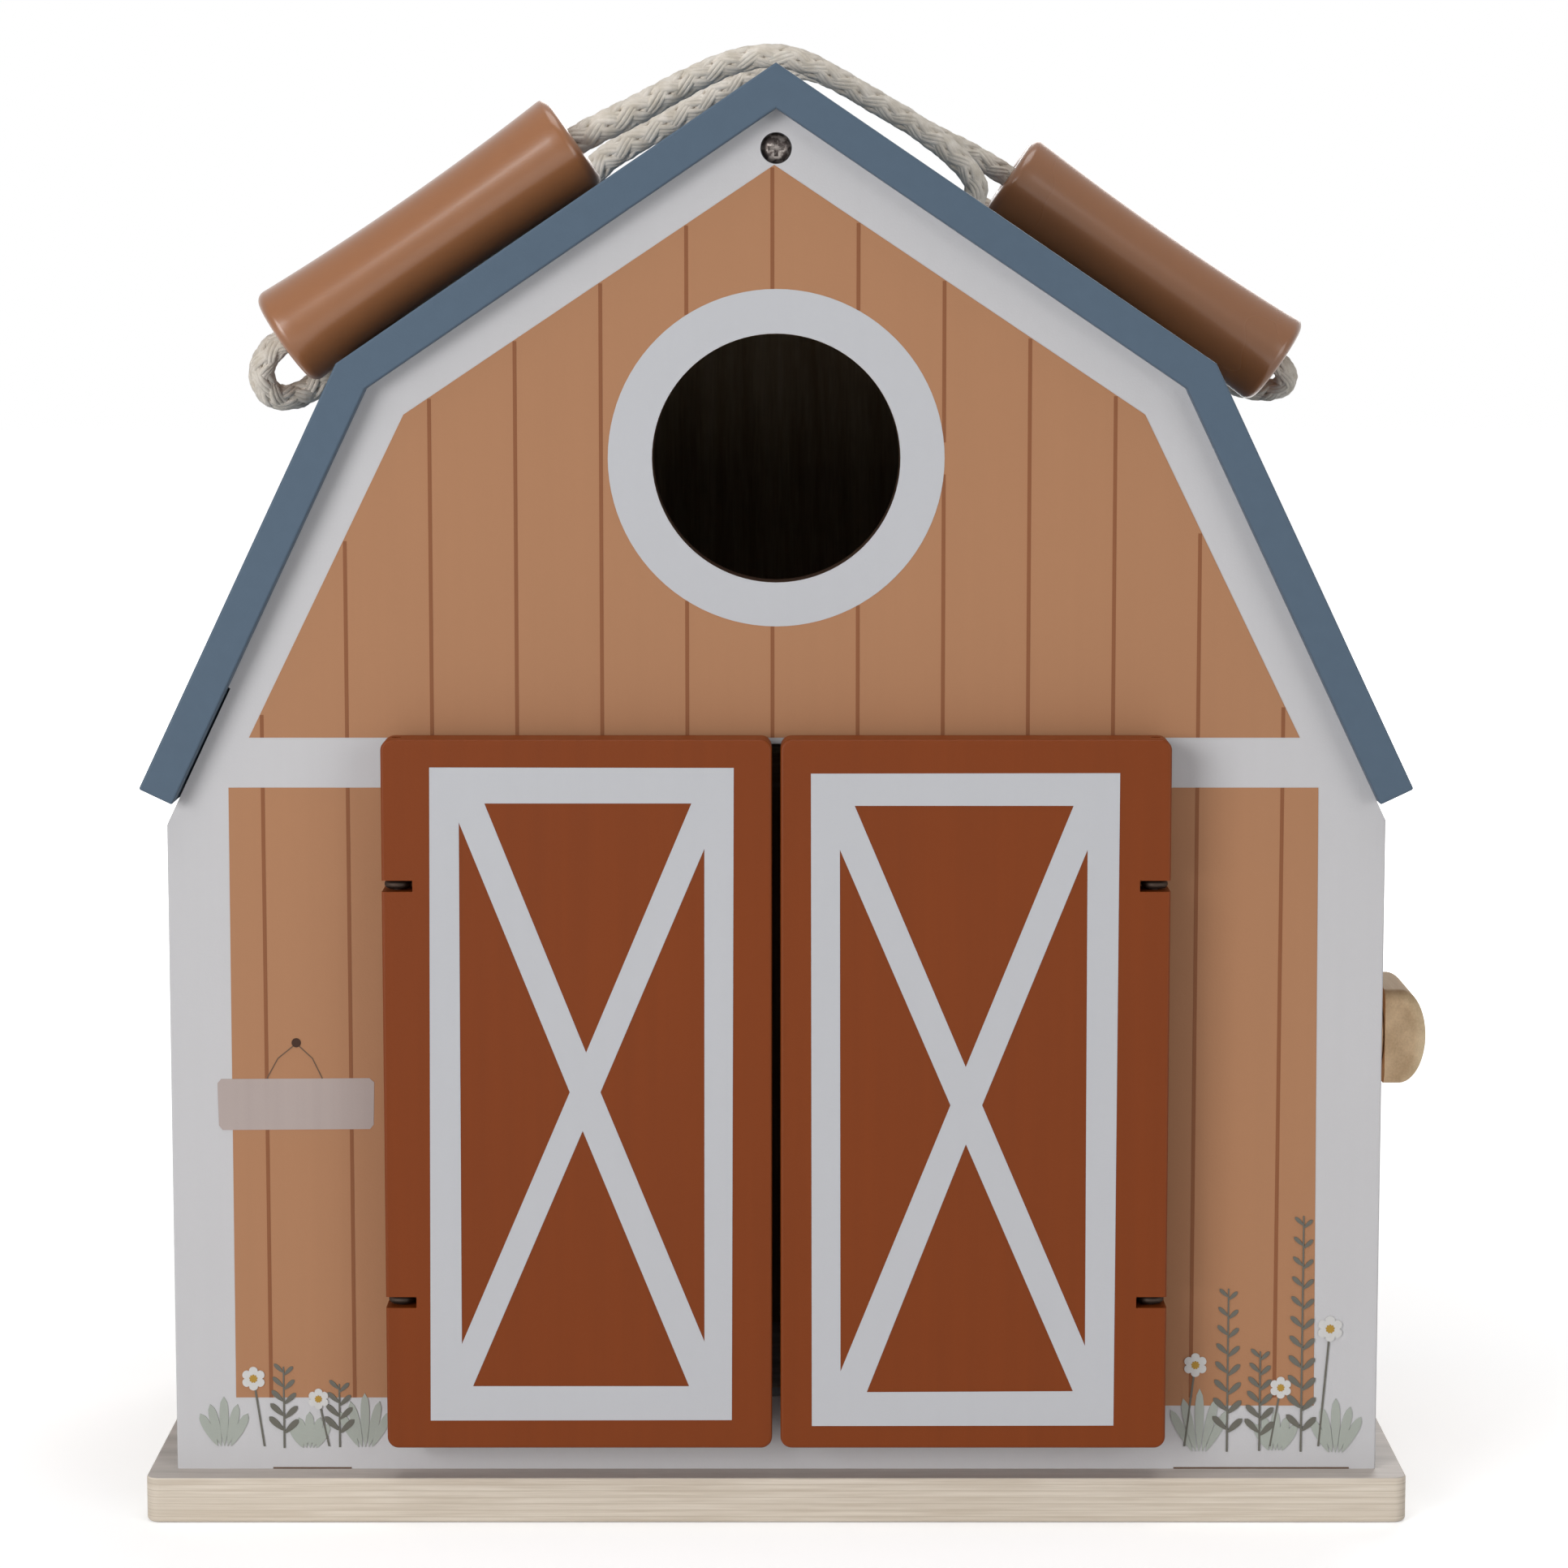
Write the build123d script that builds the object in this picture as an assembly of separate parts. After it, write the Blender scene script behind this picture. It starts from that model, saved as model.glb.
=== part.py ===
from build123d import *
from math import atan2, cos, degrees, pi, radians, sin, tan
import os

# Toy farmhouse in millimetres: X right, Y back, Z up, origin under the middle of the base.
# Two half houses meet at the seam plane Y 0 and swing apart on butt hinges at the left.
FRONT = -1
BACK = 1
LEFT = -1
RIGHT = 1

# Base plates
base_width = 271.4
base_half_depth = 77.5
base_thickness = 10.0
base_corner_radius = 3.0
base_bottom_ease = 1.0
base_top_ease = 0.4
seam_gap = 0.3

# Walls
side_wall_inset = 5.95
gable_inset = 7.5
wall_thickness = 8.0
wall_edge_ease = 0.4
shoulder_relief = 0.45
relief_top = 180.0

# Gambrel roof, outer corners of the section
ridge_height = 310.8
knee_half_width = 92.2
knee_height = 248.5
eave_overhang = 5.2
eave_height = 158.8
gable_overhang = 5.0
roof_thickness = 7.8
roof_ease = 0.5

# Front gable openings
doorway_half_width = 73.0
doorway_bottom = 26.0
doorway_top = 168.0
doorway_corner_radius = 4.0
window_height = 228.5
window_radius = 26.1

# Ridge block and apex screw
ridge_block_drop = 17.6
ridge_block_half_width = 20.0
ridge_block_length = 30.0
apex_screw_drop = 8.1
apex_head_diameter = 6.2
apex_head_height = 2.0
apex_head_sink = 2.6
apex_shaft_length = 24.0

# Fits
screw_shaft_diameter = 3.0
pocket_gap = 0.05
running_gap = 0.05
head_pocket_gap = 0.2
cross_slot_width = 0.9
cross_slot_depth = 1.2

# Doors
door_width = 82.2
door_height = 152.4
door_thickness = 9.0
door_bottom = 17.8
door_middle_gap = 1.8
door_standoff = 3.0
door_corner_radius = 2.4
door_edge_ease = 0.6
door_axis_inset = 3.1
notch_height = 2.4
notch_depth = 6.5
notch_heights = (49.6, 139.1)
eye_ring_radius = 1.95
eye_wire_diameter = 1.8
eye_bite = 7.0
door_pin_diameter = 2.0
door_pin_past_notch = 6.0
door_pin_recess = 1.2

# Butt hinges at the left of the seam
hinge_axis_offset = 6.5
hinge_heights = (40.0, 125.0)
hinge_height = 25.0
hinge_leaf_thickness = 1.0
hinge_leaf_reach = 7.0
hinge_barrel_diameter = 5.0
hinge_pin_diameter = 2.4
hinge_knuckle_gap = 0.2
hinge_pin_head_diameter = 3.6
hinge_pin_head_height = 0.6
hinge_screw_spread = 15.0
hinge_screw_head = 4.2
hinge_screw_shaft = 2.2
hinge_screw_length = 10.0

# Turn-button at the right of the seam
button_height_z = 94.8
button_length = 30.0
button_width = 21.6
button_rise = 9.6
button_side_rise = 3.6
button_end_radius = 3.0
button_gap = 0.2
button_centre_offset = 7.5
button_head_diameter = 6.4
button_head_height = 2.4
button_counterbore_diameter = 7.0
button_counterbore_depth = 4.0
spacer_diameter = 14.0
spacer_height = 8.0
spacer_ease = 0.5
magnet_diameter = 8.0
magnet_height = 3.0
keeper_head_diameter = 8.0
side_screw_bite = 7.2

# Screws from below
base_screw_head = 7.0
base_screw_sink = 0.3
base_screw_length = 22.0
base_screw_gable_x = (-105.0, -45.0, 45.0, 105.0)
base_screw_side_y = 30.0

# Loft floor in the back half
loft_height = 150.0
loft_thickness = 8.0
loft_setback = 1.85

# Ropes and grips, s down the slope from the ridge and h square off the roof
rope_diameter = 6.0
rope_hole_diameter = 8.0
rope_hole_s = 51.9
rope_hole_y = 37.5
knot_diameter = 13.0
knot_height = 11.0
knot_top_rounding = 2.1
knot_foot_rounding = 4.0
grip_diameter = 22.4
grip_length = 75.6
grip_bore = 8.0
grip_waist_depth = 1.15
grip_end_radius = 2.2
grip_bore_ease = 1.0
front_grip_y = -52.0
front_grip_start = (44.1, 11.35)
front_grip_end = (119.7, 11.0)
back_grip_y = 23.0
back_grip_start = (56.2, 12.0)
back_grip_end = (131.8, 11.5)

# Values that follow from the sizes above
seam_y = seam_gap / 2
wall_half_width = base_width / 2 - side_wall_inset
wall_outer_y = base_half_depth - gable_inset
half_depth = wall_outer_y + gable_overhang
wall_inner_y = wall_outer_y - wall_thickness
wall_inner_x = wall_half_width - wall_thickness
eave_half_width = wall_half_width + eave_overhang
hinge_axis_x = -(wall_half_width + hinge_axis_offset)
upper_angle = atan2(ridge_height - knee_height, knee_half_width)
lower_angle = atan2(knee_height - eave_height, eave_half_width - knee_half_width)
upper_normal = (sin(upper_angle), cos(upper_angle))
lower_normal = (sin(lower_angle), cos(lower_angle))
mitre = roof_thickness / (1 + upper_normal[0] * lower_normal[0] + upper_normal[1] * lower_normal[1])
inner_ridge = (0.0, ridge_height - roof_thickness / cos(upper_angle))
inner_knee = (knee_half_width - mitre * (upper_normal[0] + lower_normal[0]),
              knee_height - mitre * (upper_normal[1] + lower_normal[1]))
inner_eave = (eave_half_width - roof_thickness * lower_normal[0],
              eave_height - roof_thickness * lower_normal[1])
ridge_block_bottom = inner_ridge[1] - ridge_block_drop
apex_screw_height = inner_ridge[1] - apex_screw_drop
door_back_y = -(wall_outer_y + door_standoff)
door_front_y = door_back_y - door_thickness
door_outer_x = door_middle_gap / 2 + door_width
door_axis_x = door_outer_x - door_axis_inset
door_axis_y = (door_back_y + door_front_y) / 2
door_top = door_bottom + door_height
button_base_x = wall_half_width + spacer_height + button_gap
CENTRED = (Align.CENTER, Align.CENTER, Align.MIN)


# Height of the roof's underside over a place across the house
def under_roof(x):
    if abs(x) <= inner_knee[0]:
        return inner_ridge[1] - abs(x) * tan(upper_angle)
    return inner_knee[1] - (abs(x) - inner_knee[0]) * tan(lower_angle)


# Point on an upper slope: s down from the ridge, h square off the outer face
def on_slope(side, s, h, y):
    across = s * cos(upper_angle) + h * sin(upper_angle)
    return Vector(side * across, y, ridge_height - s * sin(upper_angle) + h * cos(upper_angle))


# Point across the house, a rise above the ridge
def over_ridge(x, rise, y):
    return Vector(x, y, ridge_height + rise)


# Point outside a roof knee, a distance out and a rise above it
def beside_knee(side, out, rise, y):
    return Vector(side * (knee_half_width + out), y, knee_height + rise)


# Solid with an outline in X and Z, between two places along Y
def prism_y(outline, y_a, y_b):
    low, high = sorted((y_a, y_b))
    face = make_face(Polyline(*[(x, low, z) for x, z in outline], close=True))
    return extrude(face, amount=high - low, dir=(0, 1, 0))


# Box between two corners
def block(corner, opposite):
    low = [min(a, b) for a, b in zip(corner, opposite)]
    high = [max(a, b) for a, b in zip(corner, opposite)]
    size = [b - a for a, b in zip(low, high)]
    return Pos(*low) * Box(*size, align=(Align.MIN, Align.MIN, Align.MIN))


# Round bar between two points
def rod(start, end, diameter):
    start = Vector(start)
    run = Vector(end) - start
    return Plane(origin=start, z_dir=run) * Cylinder(diameter / 2, run.length, align=CENTRED)


# Cross recess cut into a screw head whose top lies at Z 0
def cross_recess(head):
    long = head * 0.55
    arm = Box(long, cross_slot_width, 2 * cross_slot_depth)
    return arm + Rot(0, 0, 90) * arm


# Countersunk screw pointing down from Z 0; a gap turns it into its pocket
def flat_screw(head, shaft, length, gap=0.0):
    head_radius = head / 2 + gap
    shaft_radius = shaft / 2 + gap
    outline = [(0, 0), (head_radius, 0), (shaft_radius, -(head - shaft) / 2),
               (shaft_radius, -length - gap), (0, -length - gap)]
    face = make_face(Polyline(*[(r, 0, z) for r, z in outline], close=True))
    return revolve(face, axis=Axis.Z)


# Domed screw with the head standing on Z 0 and the shaft pointing down
def pan_screw(head, head_height, shaft, length):
    rim = head_height / 2
    side = Polyline((head / 2, 0, 0), (head / 2, 0, rim))
    dome = ThreePointArc((head / 2, 0, rim), (head * 0.3, 0, head_height * 0.9), (0, 0, head_height))
    rest = Polyline((0, 0, head_height), (0, 0, -length), (shaft / 2, 0, -length),
                    (shaft / 2, 0, 0), (head / 2, 0, 0))
    screw = revolve(make_face(side.edges() + dome.edges() + rest.edges()), axis=Axis.Z)
    return screw - Pos(0, 0, head_height) * cross_recess(head)


# Frame for a piece that is driven in against an outward direction
def facing(place, outward):
    return Plane(origin=place, z_dir=outward)


# Both base plates are one rounded slab cut at the seam
def base_plate(half):
    slab = extrude(RectangleRounded(base_width, 2 * base_half_depth, base_corner_radius), base_thickness)
    slab = fillet(slab.faces().sort_by(Axis.Z)[-1].edges(), base_top_ease)
    slab = fillet(slab.faces().sort_by(Axis.Z)[0].edges(), base_bottom_ease)
    keep = block((-base_width, half * seam_y, 0), (base_width, half * 2 * base_half_depth, base_thickness))
    plate = slab & keep
    for pocket in base_screw_set(half, pocket_gap):
        plate -= pocket
    return plate


# Places of the screws that hold the gable and the side walls on the base
def base_screw_places(half):
    gable_y = half * (wall_outer_y + wall_inner_y) / 2
    places = [(x, gable_y) for x in base_screw_gable_x]
    side_x = (wall_half_width + wall_inner_x) / 2
    places += [(side * side_x, half * base_screw_side_y) for side in (LEFT, RIGHT)]
    return places


def base_screw_set(half, gap=0.0):
    shaft = screw_shaft_diameter
    screws = []
    for x, y in base_screw_places(half):
        top = facing((x, y, base_screw_sink), (0, 0, -1))
        screw = top * flat_screw(base_screw_head, shaft, base_screw_length, gap)
        if gap:
            screw += rod((x, y, 0), (x, y, base_screw_sink), base_screw_head + 2 * gap)
        screws.append(screw)
    return screws


def base_screws(half):
    recess = cross_recess(base_screw_head)
    screws = base_screw_set(half)
    for number, (x, y) in enumerate(base_screw_places(half)):
        screws[number] -= Pos(x, y, base_screw_sink) * recess
    return screws


# Full-height outline of a gable, closed by the roof's underside
def gable_outline():
    right = [(wall_half_width, base_thickness), (wall_half_width, under_roof(wall_half_width)), inner_knee]
    left = [(-x, z) for x, z in reversed(right)]
    return right + [inner_ridge] + left


def apex_place(half):
    return (0, half * (wall_outer_y - apex_head_sink), apex_screw_height)


def apex_pockets(half):
    place = apex_place(half)
    mouth = (0, half * half_depth, apex_screw_height)
    tip = (0, place[1] - half * (apex_shaft_length + pocket_gap), apex_screw_height)
    head = rod(place, mouth, apex_head_diameter + 2 * head_pocket_gap)
    return head + rod(place, tip, screw_shaft_diameter + 2 * pocket_gap)


def apex_screw(half):
    screw = pan_screw(apex_head_diameter, apex_head_height, screw_shaft_diameter, apex_shaft_length)
    return facing(apex_place(half), (0, half, 0)) * screw


def gable(half):
    board = prism_y(gable_outline(), half * wall_inner_y, half * wall_outer_y)
    corners = board.edges().filter_by(Axis.Z).filter_by(lambda e: abs(e.center().Y) > wall_outer_y - 1)
    board = fillet(corners, wall_edge_ease)
    board -= apex_pockets(half)
    for pocket in base_screw_set(half, pocket_gap):
        board -= pocket
    return board


# The front gable has the doorway, the loft window and a left shoulder that sits a little low
def front_gable():
    board = gable(FRONT)
    width = 2 * doorway_half_width
    height = doorway_top - doorway_bottom
    centre = Plane(origin=(0, 0, (doorway_top + doorway_bottom) / 2), z_dir=(0, -1, 0), x_dir=(1, 0, 0))
    board -= extrude(centre * RectangleRounded(width, height, doorway_corner_radius), half_depth)
    board -= rod((0, 0, window_height), (0, -half_depth, window_height), 2 * window_radius)
    shift = (shoulder_relief * lower_normal[0], shoulder_relief * lower_normal[1])
    top = (-inner_knee[0] - (inner_knee[1] - relief_top) / tan(lower_angle), relief_top)
    foot = (-wall_half_width - shift[0], under_roof(wall_half_width + shift[0]))
    strip = [top, foot, (foot[0] + shift[0], foot[1] - shift[1]), (top[0] + shift[0], top[1] - shift[1])]
    board -= prism_y(strip, -wall_inner_y, -wall_outer_y)
    for pocket in door_eye_set(pocket_gap):
        board -= pocket
    return board


# Side wall between its gable and the seam, its top cut to the roof's slope
def side_wall(half, side):
    outline = [(side * wall_inner_x, base_thickness), (side * wall_half_width, base_thickness),
               (side * wall_half_width, under_roof(wall_half_width)),
               (side * wall_inner_x, under_roof(wall_inner_x))]
    wall = prism_y(outline, half * seam_y, half * wall_inner_y)
    for pocket in base_screw_set(half, pocket_gap):
        wall -= pocket
    if side == RIGHT:
        wall -= side_screw_pocket(half)
        return wall
    for height in hinge_heights:
        wall -= hinge_mortise(half, height)
        for pocket in hinge_screw_set(half, height, pocket_gap):
            wall -= pocket
    return wall


# Eased edges: both long ones at the gable end, and those of the eave
def ease_board(board, half):
    outer_y = half * half_depth
    edges = board.edges().filter_by(lambda e: abs(e.center().Y - outer_y) < 0.01)
    return edges.filter_by(lambda e: e.length > 2 * roof_thickness)


def upper_roof(half, side):
    outline = [(0, ridge_height), (knee_half_width, knee_height), inner_knee, inner_ridge]
    board = prism_y([(side * x, z) for x, z in outline], half * seam_y, half * half_depth)
    board = fillet(ease_board(board, half), roof_ease)
    hole_y = half * rope_hole_y
    below = on_slope(side, rope_hole_s, -2 * roof_thickness, hole_y)
    above = on_slope(side, rope_hole_s, roof_thickness, hole_y)
    return board - rod(below, above, rope_hole_diameter)


def lower_roof(half, side):
    outline = [(knee_half_width, knee_height), (eave_half_width, eave_height), inner_eave, inner_knee]
    board = prism_y([(side * x, z) for x, z in outline], half * seam_y, half * half_depth)
    eave_z = max(eave_height, inner_eave[1]) + 0.01
    eave = board.edges().filter_by(lambda e: e.center().Z < eave_z)
    eave = eave.filter_by(lambda e: abs(e.center().Y - half * seam_y) > 0.01)
    return fillet(ease_board(board, half) + eave, roof_ease)


def ridge_block(half):
    shoulder = under_roof(ridge_block_half_width)
    right = [(ridge_block_half_width, ridge_block_bottom), (ridge_block_half_width, shoulder)]
    left = [(-x, z) for x, z in reversed(right)]
    inner_end = half * (wall_inner_y - ridge_block_length)
    body = prism_y(right + [inner_ridge] + left, half * wall_inner_y, inner_end)
    return body - apex_pockets(half)


# Screw eyes that carry the doors, one ring in each door notch
def door_eye_set(gap=0.0):
    wire = eye_wire_diameter / 2 + gap
    eyes = []
    for side in (LEFT, RIGHT):
        for height in notch_heights:
            centre = (side * door_axis_x, door_axis_y, height)
            shank_start = (centre[0], door_axis_y + eye_ring_radius, height)
            shank_end = (centre[0], -wall_outer_y + eye_bite + gap, height)
            shank = rod(shank_start, shank_end, 2 * wire)
            eyes.append(shank if gap else shank + Pos(*centre) * Torus(eye_ring_radius, wire))
    return eyes


# Door with its edge notches for the eyes and the bores for its pins
def door(side):
    middle_x = side * (door_middle_gap + door_width) / 2
    middle_z = door_bottom + door_height / 2
    face = Plane(origin=(middle_x, door_back_y, middle_z), z_dir=(0, -1, 0), x_dir=(1, 0, 0))
    leaf = extrude(face * RectangleRounded(door_width, door_height, door_corner_radius), door_thickness)
    rims = leaf.faces().sort_by(Axis.Y)[0].edges() + leaf.faces().sort_by(Axis.Y)[-1].edges()
    leaf = fillet(rims, door_edge_ease)
    for height in notch_heights:
        inner = (side * (door_outer_x - notch_depth), door_front_y - 1, height - notch_height / 2)
        outer = (side * (door_outer_x + 1), door_back_y + 1, height + notch_height / 2)
        leaf -= block(inner, outer)
    for start, end in door_pin_ends():
        mouth = door_top if start > end else door_bottom
        low = (side * door_axis_x, door_axis_y, mouth)
        high = (side * door_axis_x, door_axis_y, end)
        leaf -= rod(low, high, door_pin_diameter + 2 * pocket_gap)
    return leaf


# Start and end heights of the two pins, driven in from the door's bottom and top
def door_pin_ends():
    past = notch_height / 2 + door_pin_past_notch
    return [(door_bottom + door_pin_recess, notch_heights[0] + past),
            (door_top - door_pin_recess, notch_heights[1] - past)]


def door_pins(side):
    axis = (side * door_axis_x, door_axis_y)
    return [rod((*axis, start), (*axis, end), door_pin_diameter) for start, end in door_pin_ends()]


# Hinge leaves lie in shallow mortises in the seam edges of the left walls
def leaf_plate(half, height, reach_x):
    near = half * seam_y
    low = (reach_x, near, height - hinge_height / 2)
    high = (-wall_half_width + hinge_leaf_reach, near + half * hinge_leaf_thickness, height + hinge_height / 2)
    return block(low, high)


def hinge_mortise(half, height):
    return leaf_plate(half, height, -wall_half_width)


# Knuckles of one leaf: the front one has the middle, the back one top and bottom
def knuckle_spans(half):
    third = hinge_height / 6
    inner = third - hinge_knuckle_gap / 2
    outer = third + hinge_knuckle_gap / 2
    if half == FRONT:
        return [(-inner, inner)]
    return [(-hinge_height / 2, -outer), (outer, hinge_height / 2)]


def hinge_leaf(half, height):
    plate = leaf_plate(half, height, hinge_axis_x)
    for low, high in knuckle_spans(-half):
        low_z = height + low - hinge_knuckle_gap
        high_z = height + high + hinge_knuckle_gap
        clear = hinge_barrel_diameter + 2 * hinge_knuckle_gap
        plate -= rod((hinge_axis_x, 0, low_z), (hinge_axis_x, 0, high_z), clear)
    for low, high in knuckle_spans(half):
        start = (hinge_axis_x, 0, height + low)
        plate += rod(start, (hinge_axis_x, 0, height + high), hinge_barrel_diameter)
    bore = hinge_pin_diameter + 2 * running_gap
    below = (hinge_axis_x, 0, height - hinge_height)
    plate -= rod(below, (hinge_axis_x, 0, height + hinge_height), bore)
    for pocket in hinge_screw_set(half, height, pocket_gap):
        plate -= pocket
    return plate


def hinge_screw_set(half, height, gap=0.0):
    x = -(wall_half_width + wall_inner_x) / 2
    screws = []
    for rise in (-hinge_screw_spread / 2, hinge_screw_spread / 2):
        top = facing((x, half * seam_y, height + rise), (0, -half, 0))
        screw = flat_screw(hinge_screw_head, hinge_screw_shaft, hinge_screw_length, gap)
        if not gap:
            screw -= Pos(0, 0, cross_slot_depth / 2) * cross_recess(hinge_screw_head)
        screws.append(top * screw)
    return screws


def hinge_pin(height):
    half_height = hinge_height / 2
    pin = rod((hinge_axis_x, 0, height - half_height), (hinge_axis_x, 0, height + half_height),
              hinge_pin_diameter)
    for end in (-1, 1):
        start = (hinge_axis_x, 0, height + end * half_height)
        pin += rod(start, (hinge_axis_x, 0, height + end * (half_height + hinge_pin_head_height)),
                   hinge_pin_head_diameter)
    return pin


# Half-round turn-button, its flat side towards the wall
def turn_button():
    half_width = button_width / 2
    dome = extrude(Ellipse(button_rise - button_side_rise, half_width), button_length)
    slab = Box(2 * button_side_rise, button_width, button_length, align=CENTRED)
    bar = Pos(button_side_rise, 0, 0) * dome + slab
    bar &= Box(2 * button_rise, button_width, button_length, align=(Align.MIN, Align.CENTER, Align.MIN))
    ends = bar.faces().sort_by(Axis.Z)[0].edges() + bar.faces().sort_by(Axis.Z)[-1].edges()
    bar = fillet(ends.filter_by(lambda e: e.center().X > 0.01), button_end_radius)
    bar = Pos(button_base_x, button_length / 2, button_height_z) * Rot(90, 0, 0) * bar
    crown = button_base_x + button_rise
    seat = crown - button_counterbore_depth
    pivot_y = -button_centre_offset
    bar -= rod((seat, pivot_y, button_height_z), (crown + 1, pivot_y, button_height_z),
               button_counterbore_diameter)
    bar -= rod((0, pivot_y, button_height_z), (crown, pivot_y, button_height_z),
               screw_shaft_diameter + 2 * running_gap)
    return bar - button_magnet(pocket_gap)


def button_magnet(gap=0.0):
    start = (button_base_x, button_centre_offset, button_height_z)
    end = (button_base_x + magnet_height + gap, button_centre_offset, button_height_z)
    return rod(start, end, magnet_diameter + 2 * gap)


# Turned wooden disc on the right wall, one under each end of the button
def side_disc(half):
    y = half * button_centre_offset
    disc = rod((wall_half_width, y, button_height_z),
               (wall_half_width + spacer_height, y, button_height_z), spacer_diameter)
    disc = fillet(disc.edges().sort_by(Axis.X)[-1:], spacer_ease)
    return disc - side_screw_pocket(half)


def side_screw_pocket(half):
    y = half * button_centre_offset
    top = wall_half_width + spacer_height
    if half == BACK:
        length = spacer_height + side_screw_bite
        screw = flat_screw(keeper_head_diameter, screw_shaft_diameter, length, pocket_gap)
        return facing((top, y, button_height_z), (1, 0, 0)) * screw
    end = (wall_half_width - side_screw_bite - pocket_gap, y, button_height_z)
    return rod((top, y, button_height_z), end, screw_shaft_diameter + 2 * pocket_gap)


def button_screw():
    seat = button_base_x + button_rise - button_counterbore_depth + running_gap
    length = seat - wall_half_width + side_screw_bite
    screw = pan_screw(button_head_diameter, button_head_height, screw_shaft_diameter, length)
    return facing((seat, -button_centre_offset, button_height_z), (1, 0, 0)) * screw


def keeper_screw():
    length = spacer_height + side_screw_bite
    screw = flat_screw(keeper_head_diameter, screw_shaft_diameter, length)
    screw -= cross_recess(keeper_head_diameter)
    place = (wall_half_width + spacer_height, button_centre_offset, button_height_z)
    return facing(place, (1, 0, 0)) * screw


def loft_floor():
    low = (-wall_inner_x, seam_y + loft_setback, loft_height)
    return block(low, (wall_inner_x, wall_inner_y, loft_height + loft_thickness))


# Wooden grip turned with a slight waist, on its rope bore between two places on a slope
def grip(side, start, end, y):
    first = on_slope(side, *start, y)
    run = on_slope(side, *end, y) - first
    rim = grip_diameter / 2
    ends = Polyline((rim, 0, grip_length), (0, 0, grip_length), (0, 0, 0), (rim, 0, 0))
    waist = ThreePointArc((rim, 0, 0), (rim - grip_waist_depth, 0, grip_length / 2), (rim, 0, grip_length))
    body = revolve(make_face(ends.edges() + waist.edges()), axis=Axis.Z)
    body = fillet(body.edges().filter_by(GeomType.CIRCLE), grip_end_radius)
    body -= Cylinder(grip_bore / 2, grip_length, align=CENTRED)
    mouths = body.edges().filter_by(GeomType.CIRCLE)
    mouths = mouths.filter_by(lambda e: abs(e.radius - grip_bore / 2) < 0.01)
    return Plane(origin=first, z_dir=run) * fillet(mouths, grip_bore_ease)


# Route of the front rope: out of the right hole, over the ridge, through the grip
# on the left slope, round a small loop and back up the slope into the left hole
def front_rope_route():
    return [
        on_slope(RIGHT, rope_hole_s, -roof_thickness, -rope_hole_y),
        on_slope(RIGHT, rope_hole_s, 5.5, -rope_hole_y),
        on_slope(RIGHT, 29.0, 9.5, -40.0),
        over_ridge(10.0, 9.3, -43.0),
        over_ridge(-10.0, 9.0, -45.5),
        on_slope(LEFT, 38.0, 11.378, front_grip_y),
        on_slope(LEFT, 128.0, 10.962, front_grip_y),
        beside_knee(LEFT, 19.8, -13.0, -50.5),
        beside_knee(LEFT, 11.5, -12.0, -40.0),
        beside_knee(LEFT, 6.9, 10.5, -37.8),
        on_slope(LEFT, 84.0, 4.2, -37.6),
        on_slope(LEFT, 70.0, 6.5, -37.4),
        on_slope(LEFT, rope_hole_s, 7.0, -rope_hole_y),
        on_slope(LEFT, rope_hole_s, -roof_thickness, -rope_hole_y),
    ]


# The back rope runs the other way, with its grip further down the right slope
def back_rope_route():
    return [
        on_slope(LEFT, rope_hole_s, -roof_thickness, rope_hole_y),
        on_slope(LEFT, rope_hole_s, 5.8, rope_hole_y),
        on_slope(LEFT, 29.0, 9.7, 35.0),
        over_ridge(-10.0, 9.1, 32.5),
        over_ridge(11.0, 9.5, 30.0),
        on_slope(RIGHT, 32.0, 13.2, 26.5),
        on_slope(RIGHT, 50.0, 12.041, back_grip_y),
        on_slope(RIGHT, 138.0, 11.459, back_grip_y),
        beside_knee(RIGHT, 27.3, -17.5, 24.5),
        beside_knee(RIGHT, 17.8, -16.5, 35.0),
        beside_knee(RIGHT, 7.8, 8.0, 37.3),
        on_slope(RIGHT, 84.0, 4.2, 37.4),
        on_slope(RIGHT, 70.0, 6.5, 37.6),
        on_slope(RIGHT, rope_hole_s, 7.0, rope_hole_y),
        on_slope(RIGHT, rope_hole_s, -roof_thickness, rope_hole_y),
    ]


# Tube of straight runs joined by tangent arcs; prints its radii and tests its volume
def rope(name, route):
    runs = [b - a for a, b in zip(route, route[1:])]
    radii = []
    for before, after in zip(runs, runs[1:]):
        half_turn = radians(before.get_angle(after)) / 2
        radii.append(0.45 * min(before.length, after.length) / tan(half_turn))
    path = FilletPolyline(*route, radius=radii)
    section = Plane(origin=route[0], z_dir=runs[0]) * Circle(rope_diameter / 2)
    tube = sweep(section, path=path)
    expected = pi * rope_diameter ** 2 / 4 * path.length
    print(name, "radii", [round(r, 1) for r in radii], "length", round(path.length, 1),
          "volume ratio", round(tube.volume / expected, 4))
    return tube


# Stopper knot under the roof, its flat top against the board
def knot(side, y):
    body = Pos(0, 0, -knot_height) * Cylinder(knot_diameter / 2, knot_height, align=CENTRED)
    rims = body.edges().filter_by(GeomType.CIRCLE).sort_by(Axis.Z)
    body = fillet(rims[-1:], knot_top_rounding)
    foot = body.edges().filter_by(GeomType.CIRCLE).sort_by(Axis.Z)[:1]
    body = fillet(foot, knot_foot_rounding)
    place = on_slope(side, rope_hole_s, -roof_thickness, y)
    outward = on_slope(side, rope_hole_s, 0, y) - place
    return Plane(origin=place, z_dir=outward) * body


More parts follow.
